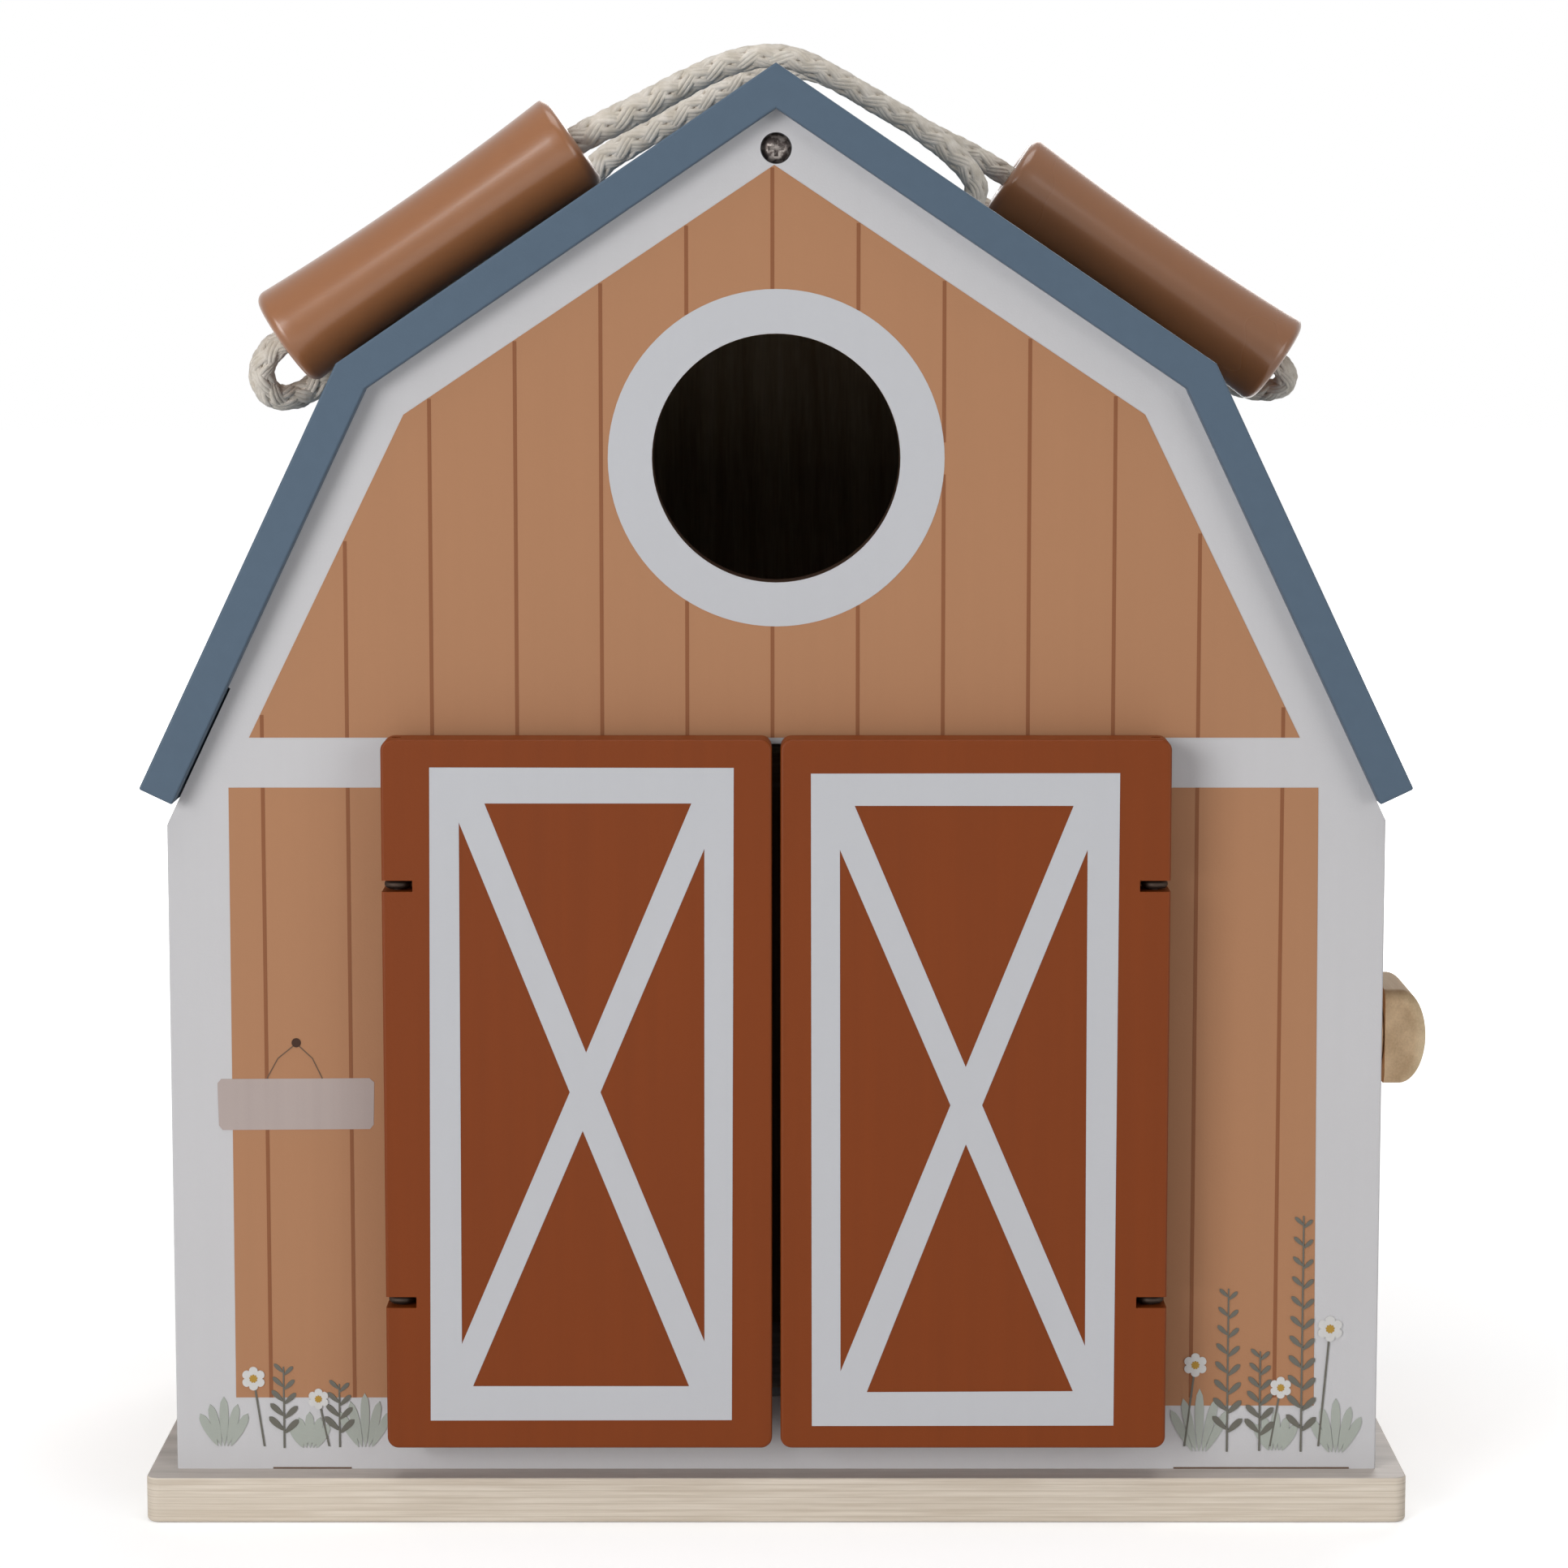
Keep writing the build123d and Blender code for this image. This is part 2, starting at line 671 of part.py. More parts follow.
def make_nodes():
    nodes = {}
    for half, name in ((FRONT, "front"), (BACK, "back")):
        nodes[name + "_base"] = [base_plate(half)]
        nodes[name + "_base_screws"] = base_screws(half)
        nodes[name + "_gable"] = [front_gable() if half == FRONT else gable(half)]
        for side, hand in ((LEFT, "left"), (RIGHT, "right")):
            nodes[name + "_" + hand + "_wall"] = [side_wall(half, side)]
            nodes[name + "_upper_" + hand + "_roof"] = [upper_roof(half, side)]
            nodes[name + "_lower_" + hand + "_roof"] = [lower_roof(half, side)]
        nodes[name + "_ridge_block"] = [ridge_block(half)]
        nodes[name + "_apex_screw"] = [apex_screw(half)]
        nodes[name + "_hinge_leaves"] = [hinge_leaf(half, height) for height in hinge_heights]
        screws = [hinge_screw_set(half, height) for height in hinge_heights]
        nodes[name + "_hinge_screws"] = sum(screws, [])
        nodes[name + "_rope_knots"] = [knot(side, half * rope_hole_y) for side in (LEFT, RIGHT)]
    nodes["hinge_pins"] = [hinge_pin(height) for height in hinge_heights]
    nodes["door_hinge_eyes"] = door_eye_set()
    for side, hand in ((LEFT, "left"), (RIGHT, "right")):
        nodes[hand + "_door"] = [door(side)]
        nodes[hand + "_door_pins"] = door_pins(side)
    nodes["turn_button"] = [turn_button()]
    nodes["button_magnet"] = [button_magnet()]
    nodes["button_spacer"] = [side_disc(FRONT)]
    nodes["button_screw"] = [button_screw()]
    nodes["keeper_block"] = [side_disc(BACK)]
    nodes["keeper_screw"] = [keeper_screw()]
    nodes["loft_floor"] = [loft_floor()]
    nodes["front_grip"] = [grip(LEFT, front_grip_start, front_grip_end, front_grip_y)]
    nodes["back_grip"] = [grip(RIGHT, back_grip_start, back_grip_end, back_grip_y)]
    nodes["front_rope"] = [rope("front_rope", front_rope_route())]
    nodes["back_rope"] = [rope("back_rope", back_rope_route())]
    return nodes


os.makedirs("parts", exist_ok=True)
for node_name, pieces in make_nodes().items():
    solids = [solid for piece in pieces for solid in piece.solids()]
    export_step(Compound(children=solids), "parts/" + node_name + ".step")
print("roof angles", round(degrees(upper_angle), 2), round(degrees(lower_angle), 2))
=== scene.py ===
from math import atan2, cos, exp, pi, radians, sin

import bmesh
import bpy
from mathutils import Matrix, Vector


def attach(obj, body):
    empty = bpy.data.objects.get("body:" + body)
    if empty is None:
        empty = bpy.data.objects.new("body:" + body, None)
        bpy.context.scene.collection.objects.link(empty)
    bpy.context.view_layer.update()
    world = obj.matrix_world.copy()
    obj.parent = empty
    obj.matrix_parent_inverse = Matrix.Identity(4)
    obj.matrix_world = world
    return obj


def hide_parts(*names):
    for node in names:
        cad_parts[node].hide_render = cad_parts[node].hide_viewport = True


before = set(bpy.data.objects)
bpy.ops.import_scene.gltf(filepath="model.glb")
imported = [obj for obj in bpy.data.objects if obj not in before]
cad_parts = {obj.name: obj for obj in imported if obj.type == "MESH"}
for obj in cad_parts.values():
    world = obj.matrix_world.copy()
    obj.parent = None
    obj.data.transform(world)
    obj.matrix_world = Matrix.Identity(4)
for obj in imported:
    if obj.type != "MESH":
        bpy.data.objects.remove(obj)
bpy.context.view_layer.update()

# The farmhouse is pictured square from the front, about a metre away and a little from above,
# through a long lens, with plain colours.
lens_length = 101.09
camera_place = (0.00165, -0.9998, 0.27025)
camera_tilt = radians(83.2)
photo_camera = bpy.data.objects.new("photo_camera", bpy.data.cameras.new("photo_camera"))
photo_camera.data.sensor_width = 36.0
photo_camera.data.lens = lens_length
photo_camera.data.clip_start = 0.05
photo_camera.location = camera_place
photo_camera.rotation_euler = (camera_tilt, 0.0, 0.0)
bpy.context.scene.collection.objects.link(photo_camera)
bpy.context.scene.camera = photo_camera
bpy.context.scene.view_settings.view_transform = "Standard"

# The stage is a pale floor that keeps the soft shadow and grows white away from the toy,
# with a plain white surround. Four broad lamps light it: the main one on the left, the
# others on the right, above and behind.
plain_white = (1.0, 1.0, 1.0, 1.0)
floor_grey = (0.8, 0.8, 0.8, 1.0)
floor_reach = 6.0
glow_start = 0.22
glow_end = 0.9
glow_near = 0.45
surround_level = 0.04
lamp_aim = (0.0, 0.0, 0.15)


# A value that comes from another node is wired, and a plain one is set.
def fill(node, values):
    for key, value in values.items():
        if isinstance(value, bpy.types.NodeSocket):
            node.id_data.links.new(value, node.inputs[key])
        else:
            node.inputs[key].default_value = value


def add(tree, kind, values, **settings):
    made = tree.nodes.new("ShaderNode" + kind)
    for key, value in settings.items():
        setattr(made, key, value)
    fill(made, values)
    return made


def new_finish(name, values):
    finish = bpy.data.materials.new(name)
    finish.use_nodes = True
    shader = finish.node_tree.nodes["Principled BSDF"]
    fill(shader, values)
    return finish, finish.node_tree, shader


# Sums, and a value spread over a new range.
def reckon(tree, how, *values):
    return add(tree, "Math", dict(enumerate(values)), operation=how).outputs[0]


def graded(tree, value, low=0.0, high=1.0, start=0.0, end=1.0):
    return add(tree, "MapRange", {0: value, 1: low, 2: high, 3: start, 4: end}).outputs[0]


# What the eye meets straight, in a reflection or through glass, but not as light on a surface.
def seen_plainly(tree):
    ray = add(tree, "LightPath", {}).outputs
    seen = reckon(tree, "MAXIMUM", ray["Is Camera Ray"], ray["Is Glossy Ray"])
    return reckon(tree, "MAXIMUM", seen, ray["Is Transmission Ray"])


# A shaped mesh becomes a piece of one finish, with its faces flat or smooth.
def piece_from(build, name, finish, smooth=False):
    mesh = bpy.data.meshes.new(name)
    build.to_mesh(mesh)
    build.free()
    mesh.materials.append(finish)
    for face in mesh.polygons:
        face.use_smooth = smooth
    piece = bpy.data.objects.new(name, mesh)
    bpy.context.scene.collection.objects.link(piece)
    return piece


floor_white, tree, shader = new_finish("floor_white", {
    "Roughness": 0.9, "Base Color": floor_grey, "Emission Color": plain_white})
where = add(tree, "TexCoord", {}).outputs["Object"]
away = add(tree, "VectorMath", {0: where}, operation="LENGTH").outputs["Value"]
glow = graded(tree, away, glow_start, glow_end, glow_near, 1.0)
fill(shader, {"Emission Strength": reckon(tree, "MULTIPLY", seen_plainly(tree), glow)})
build = bmesh.new()
bmesh.ops.create_grid(build, x_segments=1, y_segments=1, size=floor_reach)
stage_floor = piece_from(build, "stage_floor", floor_white)

surround = bpy.data.worlds.new("surround")
bpy.context.scene.world = surround
surround.use_nodes = True
tree = surround.node_tree
fill(tree.nodes["Background"], {
    "Color": plain_white, "Strength": graded(tree, seen_plainly(tree), start=surround_level)})


def lamp(name, place, width, height, watts):
    light = bpy.data.lights.new(name, "AREA")
    light.shape = "RECTANGLE"
    light.size = width
    light.size_y = height
    light.energy = watts
    holder = bpy.data.objects.new(name, light)
    holder.location = place
    aim = Vector(lamp_aim) - Vector(place)
    holder.rotation_euler = aim.to_track_quat("-Z", "Y").to_euler()
    bpy.context.scene.collection.objects.link(holder)


lamp("left_lamp", (-1.2, -1.6, 0.55), 1.0, 1.0, 23.0)
lamp("right_lamp", (1.35, -1.55, 0.45), 1.1, 1.1, 9.5)
lamp("top_lamp", (0.0, -0.3, 1.8), 1.2, 1.2, 13.5)
lamp("back_lamp", (0.4, 1.9, 1.1), 1.4, 1.2, 20.0)

# Two base plates of bare plywood, one under each half, with rounded corners and eased
# edges. Their faces show the veneer and their cut edges the plies. The walls stand on
# them, and the screws that hold them from below are inferred.
base_height = 0.010
ply_count = 7.0


# A colour as a screen shows it.
def srgb(red, green, blue):
    return tuple((value / 255.0) ** 2.2 for value in (red, green, blue)) + (1.0,)


# Wood grain is drawn from soft noise that is pulled long, blended between two colours, and
# raised a little.
def stretched(tree, place, sizes):
    return add(tree, "Mapping", {"Vector": place, "Scale": sizes}).outputs[0]


def mottle(tree, place, size, detail):
    return add(tree, "TexNoise", {"Vector": place, "Scale": size, "Detail": detail}).outputs["Fac"]


def blend(tree, amount, first, second):
    return add(tree, "Mix", {0: amount, 6: first, 7: second}, data_type="RGBA").outputs[2]


def axes(tree, place):
    return add(tree, "SeparateXYZ", {0: place}).outputs


def relief(tree, height, strength, depth=0.0002):
    return add(tree, "Bump", {"Height": height, "Strength": strength, "Distance": depth}).outputs[0]


# A pattern that several finishes share is made once and laid into each with its own values.
def pattern(name, takes, gives):
    group = bpy.data.node_groups.new(name, "ShaderNodeTree")
    for label, kind in takes.items():
        group.interface.new_socket(label, in_out="INPUT", socket_type="NodeSocket" + kind)
    for label, kind in gives.items():
        group.interface.new_socket(label, in_out="OUTPUT", socket_type="NodeSocket" + kind)
    return group, group.nodes.new("NodeGroupInput").outputs, group.nodes.new("NodeGroupOutput")


def laid(tree, group, values):
    made = tree.nodes.new("ShaderNodeGroup")
    made.node_tree = group
    fill(made, values)
    return made.outputs


# The CAD pieces keep their shape and get a finish.
def finish_nodes(finish, *names):
    for name in names:
        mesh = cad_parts[name].data
        mesh.materials.clear()
        mesh.materials.append(finish)


# Veneer runs along X: a broad wandering figure with fine pores in it.
veneer, take, give = pattern("veneer", {"Vector": "Vector", "Light": "Color", "Dark": "Color"},
                             {"Color": "Color", "Height": "Float"})
wander = add(veneer, "TexNoise", {"Vector": take["Vector"], "Scale": 9.0, "Detail": 2.0})
sway = add(veneer, "VectorMath", {0: wander.outputs["Color"], "Scale": 0.012}, operation="SCALE")
bent = add(veneer, "VectorMath", {0: take["Vector"], 1: sway.outputs[0]}, operation="ADD")
figure = mottle(veneer, stretched(veneer, bent.outputs[0], (9.0, 190.0, 190.0)), 1.0, 5.0)
pore = mottle(veneer, stretched(veneer, take["Vector"], (120.0, 2200.0, 2200.0)), 1.0, 2.0)
figured = reckon(veneer, "MULTIPLY_ADD", pore, 0.35, figure)
light_share = graded(veneer, figured, 0.48, 0.86)
fill(give, {"Color": blend(veneer, light_share, take["Dark"], take["Light"]), "Height": figured})

# Plies show on a cut edge as pale layers with a dark glue line between them.
plies, take, give = pattern(
    "plies",
    {"Depth": "Float", "Count": "Float", "Vector": "Vector", "Light": "Color", "Dark": "Color"},
    {"Color": "Color", "Height": "Float"})
waver = graded(plies, mottle(plies, take["Vector"], 22.0, 2.0), start=-0.08, end=0.08)
layer = reckon(plies, "MULTIPLY_ADD", take["Depth"], take["Count"], waver)
layer_wave = reckon(plies, "ABSOLUTE", reckon(plies, "SINE", reckon(plies, "MULTIPLY", layer, pi)))
between_glue = graded(plies, layer_wave, high=0.32)
fibre = mottle(plies, stretched(plies, take["Vector"], (45.0, 45.0, 1500.0)), 1.0, 3.0)
pale = reckon(plies, "MULTIPLY", between_glue, graded(plies, fibre, 0.3, 0.7, 0.25, 1.0))
fill(give, {"Color": blend(plies, pale, take["Dark"], take["Light"]), "Height": pale})

edge_light = srgb(222, 211, 196)
edge_dark = srgb(192, 178, 160)
face_light = srgb(200, 191, 184)
face_dark = srgb(175, 167, 160)
base_wood, tree, shader = new_finish("base_plywood", {"Roughness": 0.55, "Specular IOR Level": 0.3})
where = add(tree, "TexCoord", {}).outputs
facing_up = reckon(tree, "ABSOLUTE", axes(tree, where["Normal"])["Z"])
is_face = graded(tree, facing_up, 0.6, 0.9)
depth = reckon(tree, "DIVIDE", axes(tree, where["Object"])["Z"], base_height)
edge = laid(tree, plies, {"Depth": depth, "Count": ply_count, "Vector": where["Object"],
                          "Light": edge_light, "Dark": edge_dark})
face = laid(tree, veneer, {"Vector": where["Object"], "Light": face_light, "Dark": face_dark})
fill(shader, {"Base Color": blend(tree, is_face, edge["Color"], face["Color"]),
              "Normal": relief(tree, edge["Height"], 0.15)})
finish_nodes(base_wood, "front_base", "back_base")

# The gable boards and side walls are taken to be plywood, painted white on the outside. The
# bare wood towards the room and at the seam can't be seen and is a guess. The front gable
# has a round window, with painted shade inside its rim.
room_half_width = 0.1222
room_half_depth = 0.0622
seam_reach = 0.0004
window_height = 0.2285
window_rim = 0.0263


def turned(tree, place, angles):
    return add(tree, "Mapping", {"Vector": place, "Rotation": angles}).outputs[0]


# Paint is drawn thin enough to show a little of the grain under it.
painted_wood, take, give = pattern(
    "painted_wood",
    {"Vector": "Vector", "Color": "Color", "Tone": "Float", "Grain": "Float", "Gloss": "Float"},
    {"Color": "Color", "Roughness": "Float", "Height": "Float"})
broad = mottle(painted_wood, take["Vector"], 16.0, 3.0)
grain = mottle(painted_wood, stretched(painted_wood, take["Vector"], (330.0, 330.0, 11.0)), 1.0, 4.0)
peel = mottle(painted_wood, take["Vector"], 1900.0, 2.0)
tone = graded(painted_wood, broad, 0.3, 0.7, -0.5, 0.5)
streak = graded(painted_wood, grain, 0.3, 0.7, -0.5, 0.5)
shade = reckon(painted_wood, "MULTIPLY_ADD", tone, take["Tone"], 1.0)
shade = reckon(painted_wood, "MULTIPLY_ADD", streak, take["Grain"], shade)
tinted = add(painted_wood, "VectorMath", {0: take["Color"], "Scale": shade}, operation="SCALE")
fill(give, {"Color": tinted.outputs[0],
            "Roughness": reckon(painted_wood, "MULTIPLY_ADD", tone, 0.1, take["Gloss"]),
            "Height": reckon(painted_wood, "MULTIPLY_ADD", grain, 0.55, peel)})


# Paint of one colour; the grain under it runs along the axis that turn makes upright.
def paint(name, colour, tone=0.05, grain_show=0.03, gloss=0.5, turn=(0.0, 0.0, 0.0), bumps=0.12):
    finish, tree, shader = new_finish(name, {"Specular IOR Level": 0.22})
    where = turned(tree, add(tree, "TexCoord", {}).outputs["Object"], turn)
    skin = laid(tree, painted_wood, {"Vector": where, "Color": colour, "Tone": tone,
                                     "Grain": grain_show, "Gloss": gloss})
    fill(shader, {"Base Color": skin["Color"], "Roughness": skin["Roughness"],
                  "Normal": relief(tree, skin["Height"], bumps)})
    return finish


window_rim_painted_shade = srgb(58, 42, 32)
bare_light = srgb(196, 172, 140)
bare_dark = srgb(160, 132, 100)
wall_white = paint("wall_white", srgb(196, 195, 197), tone=0.02, grain_show=0.012, gloss=0.6)
tree = wall_white.node_tree
shader = tree.nodes["Principled BSDF"]
painted_colour = shader.inputs["Base Color"].links[0].from_socket
where = add(tree, "TexCoord", {}).outputs["Object"]
place = axes(tree, where)
out_y = reckon(tree, "ABSOLUTE", place["Y"])
within_walls = reckon(tree, "LESS_THAN", reckon(tree, "ABSOLUTE", place["X"]), room_half_width)
within_gables = reckon(tree, "LESS_THAN", out_y, room_half_depth)
room = reckon(tree, "MINIMUM", within_walls, within_gables)
bare = reckon(tree, "MAXIMUM", room, reckon(tree, "LESS_THAN", out_y, seam_reach))
face = laid(tree, veneer, {"Vector": turned(tree, where, (0.0, pi / 2, 0.0)), "Light": bare_light,
                           "Dark": bare_dark})
# Inside the window's rim the wall is given a dark painted shade.
from_window = add(tree, "VectorMath", {0: where, 1: (0.0, 0.0, -window_height)}, operation="ADD")
in_plane = add(tree, "VectorMath", {0: from_window.outputs[0], 1: (1.0, 0.0, 1.0)}, operation="MULTIPLY")
window_out = add(tree, "VectorMath", {0: in_plane.outputs[0]}, operation="LENGTH").outputs["Value"]
in_rim = reckon(tree, "LESS_THAN", window_out, window_rim)
in_hole = reckon(tree, "MULTIPLY", in_rim, reckon(tree, "LESS_THAN", place["Y"], 0.0))
board = blend(tree, bare, painted_colour, face["Color"])
fill(shader, {"Base Color": blend(tree, in_hole, board, window_rim_painted_shade)})
finish_nodes(wall_white, "front_gable", "back_gable", "front_left_wall", "front_right_wall",
             "back_left_wall", "back_right_wall")

# A block of bare plywood sits behind each gable under the ridge, for the apex screw to bite
# into, and is inferred from it. The loft floor between the walls of the back half, of the
# same plywood, is a guess. None of them shows in the photograph.
inside_light = srgb(205, 186, 158)
inside_dark = srgb(172, 148, 118)


def bare_wood(name, light, dark, roughness, shine, bumps, turn=(0.0, 0.0, 0.0)):
    finish, tree, shader = new_finish(name, {"Roughness": roughness, "Specular IOR Level": shine})
    where = turned(tree, add(tree, "TexCoord", {}).outputs["Object"], turn)
    face = laid(tree, veneer, {"Vector": where, "Light": light, "Dark": dark})
    fill(shader, {"Base Color": face["Color"], "Normal": relief(tree, face["Height"], bumps)})
    return finish


inside_wood = bare_wood("inside_plywood", inside_light, inside_dark, 0.6, 0.3, 0.15)
finish_nodes(inside_wood, "loft_floor", "front_ridge_block", "back_ridge_block")

# Caramel boards with brown lines between them lie above and below a white band, printed or
# painted; those of the back gable are a guess. The caramel is drawn a tenth of a millimetre
# thick, the lines half as thick again, and all of it sits a little left of the middle.
gable_face = 0.070
film = 0.00010
line_film = 1.5 * film
line_width = 0.0008
plank_step = 0.01807
print_shift = -0.0008
round_sides = 96
caramel = paint("caramel_print", srgb(168, 122, 90), tone=0.03, grain_show=0.02, gloss=0.55)
plank_brown = paint("plank_line_print", srgb(134, 86, 58), tone=0.04, grain_show=0.03, gloss=0.55)


# Closed outlines in X and Z, where one inside another leaves a hole, are filled, thickened
# towards the viewer and turned to the wall that they are printed on.
def printed(name, outlines, face, thickness, finish, body, rounds=(), turn=0.0):
    build = bmesh.new()
    for outline in outlines:
        corners = [build.verts.new((x, 0.0, z)) for x, z in outline]
        for a, b in zip(corners, corners[1:] + corners[:1]):
            build.edges.new((a, b))
    for x, z, radius in rounds:
        place = Matrix.Translation((x, 0.0, z)) @ Matrix.Rotation(pi / 2, 4, "X")
        bmesh.ops.create_circle(build, radius=radius, segments=round_sides, matrix=place)
    bmesh.ops.triangle_fill(build, use_beauty=True, use_dissolve=False, edges=build.edges[:])
    raised = bmesh.ops.extrude_face_region(build, geom=build.faces[:])
    lifted = [item for item in raised["geom"] if isinstance(item, bmesh.types.BMVert)]
    bmesh.ops.translate(build, verts=lifted, vec=(0.0, -thickness, 0.0))
    bmesh.ops.translate(build, verts=build.verts[:], vec=(0.0, -face, 0.0))
    bmesh.ops.rotate(build, verts=build.verts[:], cent=(0.0, 0.0, 0.0), matrix=Matrix.Rotation(turn, 3, "Z"))
    bmesh.ops.recalc_face_normals(build, faces=build.faces[:])
    piece = piece_from(build, name, finish)
    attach(piece, body)


def strip(x, low, high, width):
    return [(x - width / 2, low), (x + width / 2, low), (x + width / 2, high), (x - width / 2, high)]


apex_z = 0.2898
shoulder = (0.0781, 0.2377)
band_top = 0.1693
upper_foot = 0.1116
upper_slope = (apex_z - shoulder[1]) / shoulder[0]
lower_slope = (shoulder[1] - band_top) / (upper_foot - shoulder[0])


def boards_top(x):
    x = abs(x - print_shift / 2) + line_width / 2
    if x <= shoulder[0]:
        return apex_z - x * upper_slope
    return shoulder[1] - (x - shoulder[0]) * lower_slope


ring_outer = 0.0355
ring_inner = 0.0261
upper_outline = [(x + print_shift / 2, z) for x, z in (
    (-upper_foot, band_top), (upper_foot, band_top), shoulder, (0.0, apex_z), (-shoulder[0], shoulder[1]))]
line_places = [number * plank_step + print_shift for number in range(-6, 7)]
front_lines = []
back_lines = []
for x in line_places:
    top = boards_top(x)
    if abs(x) < ring_outer:
        gap = (ring_outer ** 2 - x ** 2) ** 0.5
        front_lines.append(strip(x, window_height + gap, top, line_width))
        front_lines.append(strip(x, band_top, window_height - gap, line_width))
    elif top > band_top:
        front_lines.append(strip(x, band_top, top, line_width))
    if top > band_top:
        back_lines.append(strip(x, band_top, top, line_width))

band_bottom = 0.1586
foot_left = (-0.1168, 0.0258)
foot_right = (0.1162, 0.0240)
head_left = (-0.1165, band_bottom)
head_right = (0.1153, band_bottom)
doorway = 0.0740
lower_whole = [foot_left, foot_right, head_right, head_left]
beside_left_door = [foot_left, (-doorway, foot_left[1]), (-doorway, band_bottom), head_left]
beside_right_door = [(doorway, foot_right[1]), foot_right, head_right, (doorway, band_bottom)]
lower_lines = [strip(x, foot_left[1], band_bottom, line_width) for x in line_places]
front_lines += [line for line in lower_lines if abs(line[0][0]) > doorway]

under_ring = [(0.0, window_height, (ring_outer + ring_inner) / 2)]
printed("front_upper_boards_print", [upper_outline], gable_face, film, caramel, "front_half",
        rounds=under_ring)
printed("front_lower_boards_print", [beside_left_door, beside_right_door], gable_face, film, caramel,
        "front_half")
printed("front_board_lines_print", front_lines, gable_face, line_film, plank_brown, "front_half")
printed("back_upper_boards_print", [upper_outline], gable_face, film, caramel, "back_half", turn=pi)
printed("back_lower_boards_print", [lower_whole], gable_face, film, caramel, "back_half", turn=pi)
printed("back_board_lines_print", back_lines + lower_lines, gable_face, line_film, plank_brown,
        "back_half", turn=pi)

# A white ring lies round the loft window. It is drawn a little thicker than the boards and
# their lines, so that these don't show through it.
ring_film = 1.6 * film
trim_white = paint("trim_white", srgb(189, 190, 194), tone=0.015, grain_show=0.01, gloss=0.5)
printed("window_ring_print", [], gable_face, ring_film, trim_white, "front_half",
        rounds=[(0.0, window_height, ring_outer), (0.0, window_height, ring_inner + 0.0001)])

# The side walls are given the same boards, which stop short of the white corner posts and of
# the seam between the halves. Only the walls' front corners show, so this is a guess.
side_face = 0.12975
side_low = 0.0245
side_top = 0.1440
seam_margin = 0.0025
post_edge = 0.0580
for half, sign in (("front", -1.0), ("back", 1.0)):
    for hand, turn in (("left", -pi / 2), ("right", pi / 2)):
        across = sign * (1.0 if hand == "right" else -1.0)
        low_x, high_x = sorted((across * seam_margin, across * post_edge))
        sheet = [(low_x, side_low), (high_x, side_low), (high_x, side_top), (low_x, side_top)]
        joints = [strip(across * (seam_margin + step * plank_step), side_low, side_top, line_width)
                  for step in (1, 2)]
        printed(f"{half}_{hand}_wall_boards_print", [sheet], side_face, film, caramel, f"{half}_half",
                turn=turn)
        printed(f"{half}_{hand}_wall_lines_print", joints, side_face, line_film, plank_brown,
                f"{half}_half", turn=turn)

# A small grey board hangs on two strings from a nail left of the doors, flat like a print. It
# is drawn over the boards, and the strings and the nail over it.
sign_film = 1.7 * film
string_film = 1.9 * film
nail_film = 2.2 * film
nail_x = -0.1028
nail_z = 0.1034
nail_radius = 0.0010
string_half = 0.00012
string_foot_z = 0.0958
string_bow = (0.62, 0.42)
sign_grey = paint("sign_print", srgb(172, 158, 153), tone=0.05, grain_show=0.05, gloss=0.55)
nail_brown = paint("nail_print", srgb(62, 42, 32), tone=0.04, grain_show=0.02, gloss=0.6)
string_grey = paint("string_print", srgb(104, 84, 70), tone=0.04, grain_show=0.04, gloss=0.6)
sign_outline = [(-0.1188, 0.0846), (-0.0872, 0.0848), (-0.0864, 0.0858), (-0.0862, 0.0950),
                (-0.0872, 0.0959), (-0.1190, 0.0957), (-0.1198, 0.0948), (-0.1196, 0.0856)]
top_of_string = Vector((nail_x, nail_z))
strings = []
for side_x in (-0.1092, -0.0973):
    foot = Vector((side_x, string_foot_z))
    lean = foot - top_of_string
    off = Vector((-lean.y, lean.x)).normalized() * string_half
    bow = Vector((lean.x * string_bow[0], lean.y * string_bow[1]))
    points = [top_of_string, top_of_string + bow, foot]
    strings.append([tuple(p + off) for p in points] + [tuple(p - off) for p in reversed(points)])
printed("sign_board_print", [sign_outline], gable_face, sign_film, sign_grey, "front_half")
printed("sign_string_print", strings, gable_face, string_film, string_grey, "front_half")
printed("sign_nail_print", [], gable_face, nail_film, nail_brown, "front_half",
        rounds=[(nail_x, nail_z + 0.0002, nail_radius)])

# Garden plants are printed along the foot of the front: sage grass, leafy sprigs and blossoms.
# Each shape is a closed outline, printed by itself, and later ones lie a hair higher than
# those under them.
leaf_steps = 9
petal_steps = 8
tuft_films = 1.8
sprig_films = 2.4
petal_films = 3.6
heart_films = 4.0
shade_line_films = 1.5
films_between = 0.012
blade_width = 0.0019
blade_gap = 0.0007
blade_lean = 0.24
blade_shortening = 0.13
leaf_length = 0.0045
leaf_lean = 0.8
leaf_slimness = 0.3
leaf_offset = 0.0006
leaf_belly = 2.6
leaf_stalk = 0.12
petal_notch = 0.28
heart_share = 0.36
stem_half = 0.0002
stem_tip_half = 0.00015
stem_slant = 0.0022


def stacked(name, outlines, films, finish):
    build = bmesh.new()
    for number, outline in enumerate(outlines):
        shape = build.faces.new([build.verts.new((x, -gable_face, z)) for x, z in outline])
        raised = bmesh.ops.extrude_face_region(build, geom=[shape])
        lifted = [item for item in raised["geom"] if isinstance(item, bmesh.types.BMVert)]
        height = (films + films_between * number) * film
        bmesh.ops.translate(build, verts=lifted, vec=(0.0, -height, 0.0))
    bmesh.ops.recalc_face_normals(build, faces=build.faces[:])
    piece = piece_from(build, name, finish)
    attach(piece, "front_half")


